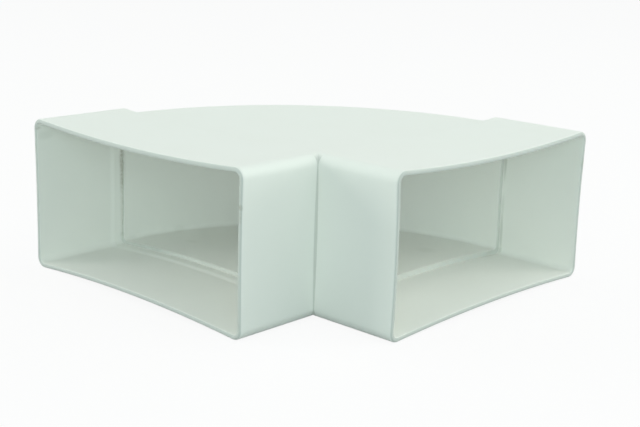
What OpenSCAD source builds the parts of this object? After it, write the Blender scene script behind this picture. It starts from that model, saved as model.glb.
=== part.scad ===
// Level 90 degree bend for flat rectangular ventilation duct, moulded in one piece.
// Socket A opens towards -Y and socket B towards +X. A quarter-round body joins them behind.
// Origin: at floor level, under the middle of the bend's bounding box.

/* [Duct that the sockets take] */
// Outside width of the flat duct
duct_w = 110; // [80:1:220]
// Outside height of the flat duct
duct_h = 54; // [40:1:90]
// Clearance between duct and socket on each side
socket_gap = 0.2; // [0.1:0.05:0.6]

/* [Sockets] */
// Wall of a socket
socket_wall = 1.7; // [1.4:0.1:2.2]
// Distance from each mouth to the inside corner of the bend
mouth_reach = 34.5; // [20:0.5:60]
// Radius of a socket's outer corners
corner_r = 3.8; // [3.2:0.1:5]
// Inward bow of the roof and floor at mid width
bow_long = 2.1; // [0.5:0.1:3]
// Inward bow of the short side walls at mid height
bow_side = 0.5; // [0.2:0.1:0.8]

/* [Stops] */
// Depth of the low shoulder in socket A, past the inside corner
shoulder_past = 0; // [-4:0.5:1]
// Height of that shoulder
shoulder_h = 0.5; // [0.3:0.1:0.9]
// Depth of the stop in socket A, past the inside corner
stop_past_a = 4.5; // [2:0.1:4.6]
// Depth of the stop in socket B, past the inside corner
stop_past_b = 0.8; // [0.1:0.1:4.6]

/* [Body] */
// How far each outer sleeve runs back past the inside corner
sleeve_past = 6.2; // [5.8:0.1:12]
// Step down from a sleeve's outside to the body's outside
body_step = 1.9; // [1:0.1:2.4]
// Wall of the body
body_wall = 1.7; // [1.4:0.1:2.2]
// Radius of the passage's corners
passage_r = 1.5; // [1:0.1:2.5]

/* [Hidden] */
// Segments of a corner arc's circle, and of the large circles that bow the walls
$fn = 64;
BOW_FN = 720;
// Overrun of a cut past the face that it opens
over = 1;
// Straight land between a corner arc and the start of a wall's bow
bow_land = 0.4;

// Outside size of a socket, and how far the body's passage lies in from it
out_w = duct_w + 2 * (socket_gap + socket_wall);
out_h = duct_h + 2 * (socket_gap + socket_wall);
passage_in = body_step + body_wall;
// From the inside corner of the bend to the middle of its bounding box, along X and along Y
to_middle = (out_w - mouth_reach) / 2;

// Radius of an arc from its chord and its rise
function arc_radius(chord, rise) = (chord * chord / 4 + rise * rise) / (2 * rise);

// The two large circles that press the long walls of a section inwards
module pressing_circles(w, h, r, bow) {
    bow_r = arc_radius(w - 2 * (r + bow_land), bow);
    for (y = [bow - bow_r, h - bow + bow_r])
        translate([w / 2, y]) circle(bow_r, $fn = BOW_FN);
}

// Section of a duct, w along X and h along Y, its lower left corner at the origin:
// a rounded rectangle, with each wall pressed into a shallow inward bow
module bowed_section(w, h, r) {
    difference() {
        union() {
            for (x = [r, w - r], y = [r, h - r])
                translate([x, y]) circle(r);
            translate([r, 0]) square([w - 2 * r, h]);
            translate([0, r]) square([w, h - 2 * r]);
        }
        pressing_circles(w, h, r, bow_long);
        translate([w, 0]) rotate(90) pressing_circles(h, w, r, bow_side);
    }
}

// The socket's outside section drawn in by an inset on every side
module inset_section(inset, r) {
    translate([inset, inset]) bowed_section(out_w - 2 * inset, out_h - 2 * inset, r);
}

// Runs a section along Y from y0 to y1, its near side wall in the plane x = 0
module run(y0, y1) {
    translate([-out_w, y1, 0]) rotate([90, 0, 0]) linear_extrude(y1 - y0) children();
}

// Turns a section through the bend, about the upright line where the sleeves' ends cross
module round_bend() {
    translate([-sleeve_past, sleeve_past, 0]) rotate(90) rotate_extrude(angle = 90, $fn = BOW_FN)
        intersection() {
            translate([-sleeve_past, 0]) children();
            square([out_w, out_h]);
        }
}

// Cuts a socket back to the mitre plane, where it meets the other one at the inside corner
module mitred() {
    difference() {
        children();
        rotate(45) translate([0, -over, -over]) cube([2 * sleeve_past, 2 * sleeve_past, out_h + 2 * over]);
    }
}

// Socket that opens along -Y: the duct's seat, an optional shoulder, then the stop's opening
module socket(seat_past, stop_past) {
    mitred() difference() {
        run(-mouth_reach, sleeve_past) inset_section(0, corner_r);
        run(-mouth_reach - over, seat_past) inset_section(socket_wall, corner_r - socket_wall);
        if (stop_past > seat_past)
            run(-mouth_reach, stop_past) inset_section(socket_wall + shoulder_h, passage_r);
        run(-mouth_reach, sleeve_past + over) inset_section(passage_in, passage_r);
    }
}

module body_shell() {
    difference() {
        round_bend() inset_section(body_step, corner_r);
        round_bend() inset_section(passage_in, passage_r);
    }
}

module duct_bend() {
    color("whitesmoke") translate([to_middle, -to_middle, 0]) {
        socket(shoulder_past, stop_past_a);
        mirror([1, 1, 0]) socket(stop_past_b, stop_past_b);
        body_shell();
    }
}

duct_bend();
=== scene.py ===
"""A moulded PVC bend for flat rectangular duct, dressed for the photograph's view.

The bend's sizes and marks are in millimetres, in a frame whose origin is its inside corner.
Socket A opens along -Y, and socket B mirrors its place and opens along +X.
Camera, floor and lamps are in metres, in the part's own frame.
"""
import math

import bmesh
import bpy
import numpy as np
from mathutils import Matrix, Vector


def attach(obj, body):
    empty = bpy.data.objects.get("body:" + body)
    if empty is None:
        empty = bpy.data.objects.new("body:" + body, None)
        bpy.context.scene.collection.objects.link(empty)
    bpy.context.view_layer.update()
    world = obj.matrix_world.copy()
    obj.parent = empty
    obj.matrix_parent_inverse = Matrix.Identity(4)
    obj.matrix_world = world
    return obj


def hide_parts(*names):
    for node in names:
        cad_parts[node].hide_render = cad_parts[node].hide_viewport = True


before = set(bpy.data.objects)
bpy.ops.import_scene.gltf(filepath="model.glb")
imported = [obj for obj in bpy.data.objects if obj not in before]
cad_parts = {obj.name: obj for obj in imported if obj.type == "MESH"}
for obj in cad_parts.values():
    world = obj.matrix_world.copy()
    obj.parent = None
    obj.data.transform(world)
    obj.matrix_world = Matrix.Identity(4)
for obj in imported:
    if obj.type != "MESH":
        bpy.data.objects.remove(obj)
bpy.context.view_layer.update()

# Sizes: the outside of a socket, and its depth from mouth to the inside corner
OUT_W = 113.8
OUT_H = 57.8
REACH = 34.5
WALL = 1.7
CORNER_R = 3.8
# The sleeve's far end, the step down to the body and the passage inside
SLEEVE = 6.2
BODY_STEP = 1.9
PASSAGE_IN = 3.6
PASSAGE_R = 1.5
# Stops: a low shoulder and a stop in socket A, one stop in socket B
SHOULDER_IN = 2.2
SHOULDER_AT = 0.0
SHOULDER_RUN = 2.6
STOP_A = 4.5
STOP_B = 0.8
# Edge roundings
RIM_OUT_R = 0.8
RIM_IN_R = 0.5
SLEEVE_END_R = 0.9
STEP_R = 0.3
# Short straight lands beside the roundings, and at the foot of the sleeve's end
ROUNDING_LAND = 0.4
BEFORE_STEP = 0.25
AFTER_STEP = 0.2
FOOT_LAND = 0.15
# Inward bows of roof, floor and side walls at the mouths, and in the body
BOW_A = (2.05, 2.05, 0.25)
BOW_B = (2.1, 1.6, 0.6)
BOW_BODY = (2.1, 2.1, 0.5)
# How far in from the near side the far wall's inner face lies, in a socket and in the passage
FAR_WALL = OUT_W - WALL
FAR_PASSAGE = OUT_W - PASSAGE_IN

MM = 0.001
# How far the middle of the bend's box lies from the inside corner, along X and along Y
TO_MIDDLE = (OUT_W - REACH) / 2
# Welding distance, shortest edge that stays, and the turn past which an edge shades as sharp
WELD = 0.004
SLIVER = 0.002
SHARP = math.radians(38)


def smooth(t):
    """Smooth step from 0 to 1."""
    t = min(max(t, 0.0), 1.0)
    return t * t * (3 - 2 * t)


def spread(n, cluster=0.6):
    """n + 1 places from 0 to 1, closer together towards both ends."""
    t = np.linspace(0, 1, n + 1)
    return t - cluster * np.sin(2 * math.pi * t) / (2 * math.pi)


# Segments of each stretch of a section
NEAR_SEG, CORNER_SEG, SIDE_SEG, LONG_SEG = 6, 10, 18, 46
# Segments of the roundings, of the shoulder's slope and of the body's quarter turn
RIM_OUT_SEG, RIM_IN_SEG, SLEEVE_END_SEG, STEP_SEG = 6, 5, 7, 4
SLOPE_SEG, BODY_SEG = 8, 48
# Rings along a wall: how many, the first one's distance from the rim, and the last one's depth
WALL_RINGS = 9
FIRST_RING = 3
LAST_OUTSIDE = -3
LAST_INSIDE = -2
# Depths of the closer rings outside, beside the mitre
MITRE_RINGS = (-1, 0, 1, 2, 3, 4)


def bow_arc(half, bow, r):
    """Radius of the arc that bows a wall, and the lean where it meets the corner arc."""
    big = (half * half - 2 * r * bow + bow * bow) / (2 * bow)
    return big, math.asin(half / (big + r))


def section(inset, r, bows):
    """The duct's section as (a, z) points: a is the distance in from the socket's near side."""
    roof_bow, floor_bow, side_bow = bows
    mid_a, mid_z = OUT_W / 2, OUT_H / 2
    half_a, half_z = mid_a - inset - r, mid_z - inset - r
    roof_big, roof_lean = bow_arc(half_a, roof_bow, r)
    floor_big, floor_lean = bow_arc(half_a, floor_bow, r)
    side_big, side_lean = bow_arc(half_z, side_bow, r)

    def roof(a):
        return OUT_H - inset - roof_bow + roof_big - math.sqrt(roof_big**2 - (a - mid_a) ** 2)

    def floor(a):
        return inset + floor_bow - floor_big + math.sqrt(floor_big**2 - (a - mid_a) ** 2)

    def side(z):
        return inset + side_bow - side_big + math.sqrt(side_big**2 - (z - mid_z) ** 2)

    def corner(centre_a, centre_z, start, end):
        turn = np.linspace(start, end, CORNER_SEG + 1)[1:]
        return [(centre_a + r * math.cos(t), centre_z + r * math.sin(t)) for t in turn]

    near_a, far_a = inset + r, OUT_W - inset - r
    low_z, high_z = inset + r, OUT_H - inset - r
    quarter = math.pi / 2
    floor_start, roof_start = near_a + r * math.sin(floor_lean), near_a + r * math.sin(roof_lean)
    side_low, side_high = low_z + r * math.sin(side_lean), high_z - r * math.sin(side_lean)
    points = [(a, floor(a)) for a in np.linspace(SLEEVE, floor_start, NEAR_SEG + 1)]
    points += corner(near_a, low_z, -quarter + floor_lean, -2 * quarter - side_lean)
    points += [(side(z), z) for z in side_low + (side_high - side_low) * spread(SIDE_SEG)[1:]]
    points += corner(near_a, high_z, 2 * quarter + side_lean, quarter - roof_lean)
    points += [(a, roof(a)) for a in np.linspace(roof_start, SLEEVE, NEAR_SEG + 1)[1:]]
    roof_end, floor_end = OUT_W - roof_start, OUT_W - floor_start
    points += [(a, roof(a)) for a in SLEEVE + (roof_end - SLEEVE) * spread(LONG_SEG)[1:]]
    points += corner(far_a, high_z, quarter + roof_lean, -side_lean)
    points += [(OUT_W - side(z), z) for z in side_high + (side_low - side_high) * spread(SIDE_SEG)[1:]]
    points += corner(far_a, low_z, side_lean, -quarter - floor_lean)
    points += [(a, floor(a)) for a in floor_end + (SLEEVE - floor_end) * spread(LONG_SEG)[1:-1]]
    return np.array(points)


# Of a section's RING points, the first NEAR_COUNT lie between the body's turning line and the near side
NEAR_COUNT = 2 * (NEAR_SEG + CORNER_SEG) + SIDE_SEG + 1
RING = NEAR_COUNT + 2 * (LONG_SEG + CORNER_SEG) + SIDE_SEG - 1


def bows_at(y, mouth):
    """Bows of a socket at depth y, from those of its mouth to the body's."""
    t = smooth((y + REACH) / (REACH + SHOULDER_AT))
    return [m + (b - m) * t for m, b in zip(mouth, BOW_BODY)]


def quarter_arc(n):
    """n + 1 angles from 0 to a right angle."""
    return [math.pi / 2 * i / n for i in range(n + 1)]


def rim_rounding(radius, n):
    """(depth, distance from the wall's face) of stations around a rim's edge."""
    return [(-REACH + radius * (1 - math.cos(t)), radius * (1 - math.sin(t))) for t in quarter_arc(n)]


def wall_depths(rim_radius, last):
    """Depths of the rings along a wall, from just behind the rim's rounding to the last one."""
    return [-REACH + rim_radius + ROUNDING_LAND, *np.linspace(-REACH + FIRST_RING, last, WALL_RINGS)]


def outer_profile():
    """(depth, inset, radius) stations of a socket's outside, from the rim inwards."""
    straight = wall_depths(RIM_OUT_R, LAST_OUTSIDE)
    straight += [*MITRE_RINGS, SLEEVE - SLEEVE_END_R - ROUNDING_LAND]
    turns = quarter_arc(SLEEVE_END_SEG)
    end = [(SLEEVE - SLEEVE_END_R * (1 - math.sin(t)), SLEEVE_END_R * (1 - math.cos(t))) for t in turns]
    stations = rim_rounding(RIM_OUT_R, RIM_OUT_SEG) + [(y, 0.0) for y in straight] + end
    stations = [(y, s, CORNER_R - s) for y, s in stations]
    return stations + [(SLEEVE, BODY_STEP - FOOT_LAND, CORNER_R), (SLEEVE, BODY_STEP, CORNER_R)]


def slope(y, s0, s1):
    """Stations of a soft rise inwards around depth y."""
    places = np.linspace(0, 1, SLOPE_SEG + 1)
    return [(y + SHOULDER_RUN * (t - 0.5), s0 + (s1 - s0) * smooth(t)) for t in places]


def step(y, s0, s1):
    """Stations of a step inwards at depth y: a sharp inside angle, then a rounded edge."""
    turns = quarter_arc(STEP_SEG)
    edge = [(y + STEP_R * (1 - math.cos(t)), s1 - STEP_R * (1 - math.sin(t))) for t in turns]
    return [(y - BEFORE_STEP, s0), (y, s0), *edge, (y + STEP_R + AFTER_STEP, s1)]


def inner_profile(steps):
    """(depth, inset, radius) stations of a socket's inside, for steps given as (form, depth, inset)."""
    stations = [(y, WALL - d) for y, d in rim_rounding(RIM_IN_R, RIM_IN_SEG)]
    stations += [(y, WALL) for y in wall_depths(RIM_IN_R, LAST_INSIDE)]
    inset = WALL
    for form, y, next_inset in steps:
        stations += form(y, inset, next_inset)
        inset = next_inset
    stations.append((SLEEVE, inset))
    return [(y, s, max(CORNER_R - s, PASSAGE_R)) for y, s in stations]


def outer_rings(mouth):
    """Rings of (a, y, z) of a socket's outside. Points past the mitre plane stop on it."""
    rings = []
    for y, inset, r in outer_profile():
        points = section(inset, r, bows_at(y, mouth))
        plain = section(0.0, CORNER_R, bows_at(y, mouth))
        ring = np.column_stack([points[:, 0], np.full(RING, y), points[:, 1]])
        for i in range(1, NEAR_COUNT - 1):
            at = plain[i, 0]
            if at < y:
                # On the mitre plane a point sinks by what the sleeve's end rounding takes off there
                past = max(0.0, at - (SLEEVE - SLEEVE_END_R)) / SLEEVE_END_R
                sunk = SLEEVE_END_R * (1 - math.sqrt(1 - min(past, 1.0) ** 2))
                a, z = section(sunk, CORNER_R - sunk, bows_at(at, mouth))[i] if sunk else plain[i]
                ring[i] = (a, a, z)
        rings.append(ring)
    return rings


def inner_rings(steps, mouth):
    """Rings of (a, y, z) of a socket's inside, stopped on the mitre plane in the same way."""
    rings = []
    for y, inset, r in inner_profile(steps):
        points = section(inset, r, bows_at(y, mouth))
        ring = np.column_stack([points[:, 0], np.full(RING, y), points[:, 1]])
        ring[1 : NEAR_COUNT - 1, 1] = np.minimum(y, points[1 : NEAR_COUNT - 1, 0])
        rings.append(ring)
    return rings


def socket_points(rings, mirrored):
    """Moves rings of (a, y, z) to the bend's own frame: A as it is, B mirrored through the mitre."""
    moved = []
    for ring in rings:
        a, y, z = ring[:, 0], ring[:, 1], ring[:, 2]
        moved.append(np.column_stack([-y, a, z] if mirrored else [-a, y, z]))
    return moved


def body_rings(inset, r):
    """Rings of the body, turned about the line where the sleeves' ends cross."""
    points = section(inset, r, BOW_BODY)
    reach = points[:, 0] - SLEEVE
    rings = []
    for turn in np.linspace(0, math.pi / 2, BODY_SEG + 1):
        ring = [-SLEEVE - reach * math.cos(turn), SLEEVE + reach * math.sin(turn), points[:, 1]]
        rings.append(np.column_stack(ring))
    return rings


def add_rings(bm, rings, only=None):
    """Adds quads between following rings. only is the range of points that a part ring joins."""
    count = len(rings[0])
    spans = [(i, (i + 1) % count) for i in (only or range(count))]
    verts = [[bm.verts.new(Vector(p) * MM) for p in ring] for ring in rings]
    for low, high in zip(verts, verts[1:]):
        for i, j in spans:
            bm.faces.new((low[i], low[j], high[j], high[i]))


def make_bend():
    """The whole bend as one closed mesh."""
    bm = bmesh.new()
    steps_a = [(slope, SHOULDER_AT, SHOULDER_IN), (step, STOP_A, PASSAGE_IN)]
    steps_b = [(step, STOP_B, PASSAGE_IN)]
    # A section's points from the body's turning line round the far side and back to it
    open_part = range(NEAR_COUNT - 1, RING)
    for mirrored, mouth, steps in ((False, BOW_A, steps_a), (True, BOW_B, steps_b)):
        outside = socket_points(outer_rings(mouth), mirrored)
        inside = socket_points(inner_rings(steps, mouth), mirrored)
        # The last two rings are the face of the sleeve's end, which the near side doesn't have
        add_rings(bm, outside[:-2])
        add_rings(bm, outside[-3:], open_part)
        add_rings(bm, inside)
        add_rings(bm, [outside[0], inside[0]])
    add_rings(bm, body_rings(BODY_STEP, CORNER_R), open_part)
    add_rings(bm, body_rings(PASSAGE_IN, PASSAGE_R), open_part)
    bmesh.ops.remove_doubles(bm, verts=bm.verts, dist=WELD * MM)
    bmesh.ops.dissolve_degenerate(bm, edges=bm.edges, dist=SLIVER * MM)
    loose = [v for v in bm.verts if not v.link_faces]
    bmesh.ops.delete(bm, geom=loose, context="VERTS")
    bmesh.ops.recalc_face_normals(bm, faces=bm.faces)
    for face in bm.faces:
        face.smooth = True
    for edge in bm.edges:
        if len(edge.link_faces) != 2 or edge.calc_face_angle(0) > SHARP:
            edge.smooth = False
    bmesh.ops.translate(bm, verts=bm.verts, vec=Vector((TO_MIDDLE, -TO_MIDDLE, 0)) * MM)
    mesh = bpy.data.meshes.new("bend_shell")
    bm.to_mesh(mesh)
    open_edges = sum(1 for e in bm.edges if len(e.link_faces) != 2)
    print(f"bend: {len(bm.verts)} points, {len(bm.faces)} faces, {open_edges} open edges")
    bm.free()
    shell = bpy.data.objects.new("bend_shell", mesh)
    bpy.context.scene.collection.objects.link(shell)
    return shell


# Camera: heading from +Y towards +X, tilt down, roll and place, from the bend's outline in the photograph
HEADING = math.radians(-42.492)
TILT = math.radians(14.556)
ROLL = math.radians(-1.799)
CAMERA_AT = (0.30352, -0.32591, 0.13871)
# Focal length and width of the photograph in its pixels, and the sensor's width in millimetres
FOCAL_PX = 1193.9
PICTURE_W = 640
SENSOR = 36.0
# Nearest and farthest that the camera sees
NEAREST = 0.01
FARTHEST = 20


def make_camera():
    """The photograph's view of the bend."""
    ahead = Vector((math.sin(HEADING) * math.cos(TILT), math.cos(HEADING) * math.cos(TILT), -math.sin(TILT)))
    across = Vector((math.cos(HEADING), -math.sin(HEADING), 0))
    down = ahead.cross(across)
    right = across * math.cos(ROLL) + down * math.sin(ROLL)
    below = down * math.cos(ROLL) - across * math.sin(ROLL)
    data = bpy.data.cameras.new("camera")
    data.sensor_width = SENSOR
    data.lens = FOCAL_PX * SENSOR / PICTURE_W
    data.clip_start, data.clip_end = NEAREST, FARTHEST
    camera = bpy.data.objects.new("camera", data)
    turn = Matrix((right, -below, -ahead)).transposed().to_4x4()
    camera.matrix_world = Matrix.Translation(CAMERA_AT) @ turn
    bpy.context.scene.collection.objects.link(camera)
    bpy.context.scene.camera = camera


def principled(name):
    """A material with nodes, and its shader."""
    material = bpy.data.materials.new(name)
    material.use_nodes = True
    shader = next(n for n in material.node_tree.nodes if n.type == "BSDF_PRINCIPLED")
    return material, material.node_tree, shader


# Plastic: the two ends of its faint clouding, and painted shade on the faces that look out along the duct
PVC_DARK = (0.945, 0.947, 0.905, 1)
PVC_LIGHT = (0.960, 0.962, 0.925, 1)
# Painted shade: the darker colours of faces that look out along the duct, at the rims and at the stops
RIM_PAINTED_SHADE = (0.67, 0.69, 0.66, 1)
STOP_PAINTED_SHADE = (0.76, 0.77, 0.73, 1)
ROUGH_LOW = 0.50
ROUGH_HIGH = 0.60
PVC_IOR = 1.5
PVC_GLOSS = 0.2
# Clouding, and the speckle in dirt and painted shade: noise scale per millimetre, where its ramp starts and
# ends
CLOUD_SCALE = 0.028
CLOUD_RANGE = (0.3, 0.7)
SPECKLE_SCALE = 0.7
SPECKLE_RANGE = (0.34, 0.60)
# Fine surface grain: noise scale per millimetre, and the bump's strength and its depth in metres
GRAIN_SCALE = 0.9
GRAIN_STRENGTH = 0.05
GRAIN_DEPTH = 0.0002
# The share of its strength that dirt and painted shade keep everywhere, and how much roughness they add
DIRT_AND_SHADE_BASE = 0.45
DIRT_AND_SHADE_ROUGH = 0.5
# A face starts to count as looking out along the duct at one share of its normal, and fully at the other
OUT_START = 0.35
OUT_FULL = 0.85
# How far such a face may lie outside its socket's near side
NEAR_SLACK = 0.3
# A mark has its full strength within this share of its half lengths
MARK_CORE = 0.3
# Dirt, scuffs and painted shade where the photo shows them: (middle, half lengths, strength)
DIRT_AND_SHADE_COLOUR = (0.30, 0.26, 0.18, 1)
DIRT_AND_SHADE = {
    # The stop_a marks are partly dirt and partly painted shade on the face of socket A's stop
    "stop_a_high": ((-FAR_WALL + 1, STOP_A, 36), (2, 1.5, 20), 0.4),
    "stop_a_low": ((-FAR_WALL + 1, STOP_A, 20), (1.5, 1.2, 22), 0.18),
    "rim_a_spot": ((-WALL / 2, -REACH, 45), (1, 1.2, 1.5), 0.6),
    "rim_a_run": ((-WALL / 2, -REACH, 42), (0.6, 1, 3.5), 0.22),
    "rim_a_corner": ((-FAR_WALL + 1.5, -REACH + 0.5, 54), (2.5, 3, 1), 0.6),
}
# Scuffs and a smudge, painted shade at the stops, and small darker patches low in the passage
SCUFF_AND_SHADE_COLOUR = (0.36, 0.40, 0.32, 1)
SCUFFS_AND_PAINTED_SHADE = {
    # Painted shade in socket B's stop corner and along its floor step
    "stop_b_high": ((0, FAR_WALL - 0.5, 42), (1, 1.2, 12), 0.3),
    "stop_b_middle": ((0, FAR_WALL - 0.5, 21), (1, 1.2, 8), 0.14),
    "stop_b_low": ((0, FAR_WALL - 0.5, 10), (1, 1.2, 14), 0.3),
    "stop_b_corner": ((0, FAR_WALL - 1, 3.5), (1.2, 2.5, 2), 0.3),
    "stop_b_floor": ((0, FAR_WALL - 5, 3), (1.2, 14, 1.5), 0.3),
    # Dirt and painted shade at the foot of socket A's stop
    "stop_a_foot": ((-FAR_WALL + 1, STOP_A, 6), (1.5, 1.2, 1.5), 0.12),
    # The deep marks darken small patches low in the passage
    "deep_floor_a": ((-88, 21, 5), (5, 2.5, 1), 0.07),
    "deep_side_a": ((-FAR_PASSAGE, 9, 4.5), (2, 3.5, 1), 0.07),
    "deep_corner_a": ((-107, 31, 4.5), (3.5, 4, 2), 0.07),
    "deep_floor_b": ((-16, 83, 5), (6, 5.5, 1), 0.09),
    "side_a_smudge": ((-FAR_WALL, -REACH + 4, 51), (1, 5, 2.5), 0.1),
    "rim_a_nick": ((-OUT_W + 0.5, -REACH, 47), (1.2, 1.2, 2), 0.3),
    "rim_b_nick": ((REACH, OUT_W - 1, 45), (1.2, 1.5, 3), 0.36),
}


def math_node(nodes, links, operation, a, b):
    """A maths node fed with sockets or plain numbers."""
    node = nodes.new("ShaderNodeMath")
    node.operation = operation
    for socket, value in zip(node.inputs, (a, b)):
        if isinstance(value, (int, float)):
            socket.default_value = value
        else:
            links.new(value, socket)
    return node.outputs[0]


def ramp_node(nodes, links, value, zero_at, full_at, full):
    """A smooth rise from 0 at zero_at to full at full_at."""
    node = nodes.new("ShaderNodeMapRange")
    node.interpolation_type = "SMOOTHSTEP"
    node.inputs["From Min"].default_value = zero_at
    node.inputs["From Max"].default_value = full_at
    node.inputs["To Min"].default_value = 0.0
    node.inputs["To Max"].default_value = full
    links.new(value, node.inputs["Value"])
    return node.outputs["Result"]


def scaled(nodes, links, place, scale, shift):
    """A place times scale plus shift, axis by axis."""
    node = nodes.new("ShaderNodeVectorMath")
    node.operation = "MULTIPLY_ADD"
    node.inputs[1].default_value = scale
    node.inputs[2].default_value = shift
    links.new(place, node.inputs[0])
    return node.outputs["Vector"]


def noise_node(nodes, links, place, scale, detail=2):
    """Soft noise of about 0 to 1, with lumps about 1 / scale wide."""
    node = nodes.new("ShaderNodeTexNoise")
    node.inputs["Scale"].default_value = scale
    node.inputs["Detail"].default_value = detail
    links.new(place, node.inputs["Vector"])
    return node.outputs["Fac"]


def marks_amount(nodes, links, place, marks):
    """How much of a set of marks covers each place: soft-edged lumps, the strongest one where they meet."""
    total = None
    for middle, half, strength in marks.values():
        scale = [1 / h for h in half]
        shift = [-m / h for m, h in zip(middle, half)]
        distance = nodes.new("ShaderNodeVectorMath")
        distance.operation = "LENGTH"
        links.new(scaled(nodes, links, place, scale, shift), distance.inputs[0])
        amount = ramp_node(nodes, links, distance.outputs["Value"], 1.0, MARK_CORE, strength)
        total = amount if total is None else math_node(nodes, links, "MAXIMUM", total, amount)
    return total


def mixed(nodes, links, factor, under, over):
    """Colour under, covered with the colour over by the factor. Both are sockets or plain colours."""
    node = nodes.new("ShaderNodeMix")
    node.data_type = "RGBA"
    links.new(factor, node.inputs["Factor"])
    for name, colour in (("A", under), ("B", over)):
        if isinstance(colour, tuple):
            node.inputs[name].default_value = colour
        else:
            links.new(colour, node.inputs[name])
    return node.outputs["Result"]


def end_faces(nodes, links, place, normal):
    """Masks for painted shade: how far a face looks out along its duct, and 1 where it lies deep inside, at
    a stop.
    """
    apart = nodes.new("ShaderNodeSeparateXYZ")
    links.new(place, apart.inputs[0])
    facing = nodes.new("ShaderNodeSeparateXYZ")
    links.new(normal, facing.inputs[0])
    x, y = apart.outputs["X"], apart.outputs["Y"]
    out_a = ramp_node(nodes, links, facing.outputs["Y"], -OUT_START, -OUT_FULL, 1.0)
    out_b = ramp_node(nodes, links, facing.outputs["X"], OUT_START, OUT_FULL, 1.0)
    for limit in (("LESS_THAN", x, NEAR_SLACK), ("LESS_THAN", y, SLEEVE)):
        out_a = math_node(nodes, links, "MULTIPLY", out_a, math_node(nodes, links, *limit))
    for limit in (("GREATER_THAN", y, -NEAR_SLACK), ("GREATER_THAN", x, -SLEEVE)):
        out_b = math_node(nodes, links, "MULTIPLY", out_b, math_node(nodes, links, *limit))
    deep_a = math_node(nodes, links, "GREATER_THAN", y, -REACH / 2)
    deep_b = math_node(nodes, links, "LESS_THAN", x, REACH / 2)
    out = math_node(nodes, links, "MAXIMUM", out_a, out_b)
    return out, math_node(nodes, links, "MULTIPLY", deep_a, deep_b)


def make_pvc():
    """White plastic with faint clouding, painted shade on end faces and in the stops, scuffs, dirt and a
    fine grain.
    """
    material, tree, shader = principled("satin_pvc")
    nodes, links = tree.nodes, tree.links
    coordinates = nodes.new("ShaderNodeTexCoord")
    to_mm = (1 / MM, 1 / MM, 1 / MM)
    to_corner = (-TO_MIDDLE, TO_MIDDLE, 0)
    place = scaled(nodes, links, coordinates.outputs["Object"], to_mm, to_corner)

    cloud = noise_node(nodes, links, place, CLOUD_SCALE, detail=3)
    tint = nodes.new("ShaderNodeValToRGB")
    for element, position, shade in zip(tint.color_ramp.elements, CLOUD_RANGE, (PVC_DARK, PVC_LIGHT)):
        element.position = position
        element.color = shade
    links.new(cloud, tint.inputs["Fac"])

    out, deep = end_faces(nodes, links, place, coordinates.outputs["Normal"])
    # Painted shade: faces looking out along the duct get the darker rim shade, or the stop shade deep inside
    painted_end_shade = mixed(nodes, links, deep, RIM_PAINTED_SHADE, STOP_PAINTED_SHADE)
    speckle = noise_node(nodes, links, place, SPECKLE_SCALE, detail=3)
    speckle = ramp_node(nodes, links, speckle, *SPECKLE_RANGE, 1 - DIRT_AND_SHADE_BASE)
    speckle = math_node(nodes, links, "ADD", speckle, DIRT_AND_SHADE_BASE)
    # Dirt, and on socket A's stop partly painted shade, broken up by speckle
    dirt_and_shade = math_node(nodes, links, "MULTIPLY", marks_amount(nodes, links, place, DIRT_AND_SHADE), speckle)
    # Scuffs, and painted shade in the stops' corners and along socket B's floor step
    scuffs_and_shade = marks_amount(nodes, links, place, SCUFFS_AND_PAINTED_SHADE)
    colour = mixed(nodes, links, out, tint.outputs["Color"], painted_end_shade)
    colour = mixed(nodes, links, scuffs_and_shade, colour, SCUFF_AND_SHADE_COLOUR)
    colour = mixed(nodes, links, dirt_and_shade, colour, DIRT_AND_SHADE_COLOUR)
    links.new(colour, shader.inputs["Base Color"])

    sheen = nodes.new("ShaderNodeMapRange")
    sheen.inputs["To Min"].default_value = ROUGH_LOW
    sheen.inputs["To Max"].default_value = ROUGH_HIGH
    links.new(cloud, sheen.inputs["Value"])
    dull = math_node(nodes, links, "MULTIPLY", dirt_and_shade, DIRT_AND_SHADE_ROUGH)
    rough = math_node(nodes, links, "ADD", sheen.outputs["Result"], dull)
    links.new(rough, shader.inputs["Roughness"])
    bump = nodes.new("ShaderNodeBump")
    bump.inputs["Strength"].default_value = GRAIN_STRENGTH
    bump.inputs["Distance"].default_value = GRAIN_DEPTH
    links.new(noise_node(nodes, links, place, GRAIN_SCALE), bump.inputs["Height"])
    links.new(bump.outputs["Normal"], shader.inputs["Normal"])
    shader.inputs["IOR"].default_value = PVC_IOR
    shader.inputs["Specular IOR Level"].default_value = PVC_GLOSS
    return material


# Floor: its colour for the light and for the camera, and the share of plain white that the camera sees
FLOOR_SIZE = 6
FLOOR_COLOUR = (0.40, 0.42, 0.42, 1)
FLOOR_SEEN = (0.95, 0.95, 0.95, 1)
FLOOR_ROUGH = 0.9
FLOOR_WHITE = 0.9
WHITE = (1, 1, 1, 1)
# Fill light from all round
FILL_COLOUR = (0.86, 0.98, 0.98, 1)
FILL_STRENGTH = 0.5


def seen_directly(nodes, links):
    """1 for rays from the camera, or by way of a gloss or a clear surface, and 0 for the light itself."""
    path = nodes.new("ShaderNodeLightPath")
    total = path.outputs["Is Camera Ray"]
    for kind in ("Is Glossy Ray", "Is Transmission Ray"):
        total = math_node(nodes, links, "MAXIMUM", total, path.outputs[kind])
    return total


def show_mix(nodes, links, factor, under, over):
    """Shows the shader under, covered with the shader over by the factor."""
    mix = nodes.new("ShaderNodeMixShader")
    for socket, source in zip(mix.inputs, (factor, under, over)):
        links.new(source, socket)
    out = next(n for n in nodes if n.type.startswith("OUTPUT"))
    links.new(mix.outputs[0], out.inputs["Surface"])


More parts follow.
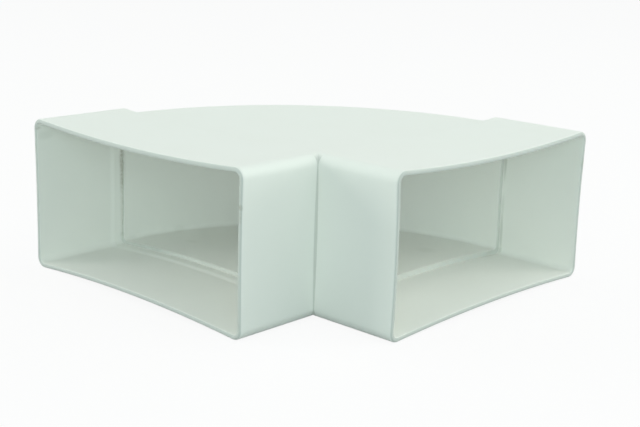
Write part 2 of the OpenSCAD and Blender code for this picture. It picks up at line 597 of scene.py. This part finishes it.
def make_floor():
    """A grey floor that the camera sees nearly white, with the bend's shadow on it."""
    bpy.ops.mesh.primitive_plane_add(size=FLOOR_SIZE)
    floor = bpy.context.object
    floor.name = "floor"
    material, tree, shader = principled("pale_floor")
    shader.inputs["Roughness"].default_value = FLOOR_ROUGH
    nodes, links = tree.nodes, tree.links
    seen = seen_directly(nodes, links)
    links.new(mixed(nodes, links, seen, FLOOR_COLOUR, FLOOR_SEEN), shader.inputs["Base Color"])
    white = nodes.new("ShaderNodeEmission")
    white.inputs["Color"].default_value = WHITE
    white.inputs["Strength"].default_value = 1.0
    amount = math_node(nodes, links, "MULTIPLY", seen, FLOOR_WHITE)
    show_mix(nodes, links, amount, shader.outputs[0], white.outputs[0])
    floor.data.materials.append(material)


def make_world():
    """Fill light from all round, which the camera sees as plain white."""
    world = bpy.data.worlds.new("studio")
    bpy.context.scene.world = world
    world.use_nodes = True
    nodes, links = world.node_tree.nodes, world.node_tree.links
    fill = nodes["Background"]
    fill.inputs["Color"].default_value = FILL_COLOUR
    fill.inputs["Strength"].default_value = FILL_STRENGTH
    white = nodes.new("ShaderNodeBackground")
    white.inputs["Color"].default_value = WHITE
    white.inputs["Strength"].default_value = 1.0
    show_mix(nodes, links, seen_directly(nodes, links), fill.outputs[0], white.outputs[0])


# Studio light: soft lamps, all alike and all aimed at the bend, in two tints
LAMP_SIZE = 0.9
LAMP_DISTANCE = 1.3
AIM = Vector((0, 0, 0.03))
COOL = (0.78, 1.0, 0.94)
WARM = (0.96, 1.0, 0.92)
# Bearing from -Y towards +X and height in degrees, watts and tint
LAMPS = {
    "front": (45, 10, 4.5, COOL),
    "left": (310, 10, 7, WARM),
    "right": (145, 10, 6, WARM),
    "right_high": (120, 45, 2.5, WARM),
    "top": (0, 90, 2, WARM),
}


def make_lamps():
    """The lamps, each a soft disk at the same distance."""
    for name, (bearing, height, watts, colour) in LAMPS.items():
        turn, rise = math.radians(bearing), math.radians(height)
        towards = Vector((math.sin(turn) * math.cos(rise), -math.cos(turn) * math.cos(rise), math.sin(rise)))
        data = bpy.data.lights.new(name, "AREA")
        data.shape = "DISK"
        data.size = LAMP_SIZE
        data.energy = watts
        data.color = colour
        lamp = bpy.data.objects.new(name, data)
        lamp.location = AIM + towards * LAMP_DISTANCE
        lamp.rotation_euler = (-towards).to_track_quat("-Z", "Y").to_euler()
        bpy.context.scene.collection.objects.link(lamp)


make_camera()
bend = make_bend()
bend.data.materials.append(make_pvc())
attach(bend, "root")
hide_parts("duct_bend")
make_floor()
make_world()
make_lamps()
bpy.context.scene.view_settings.view_transform = "Standard"
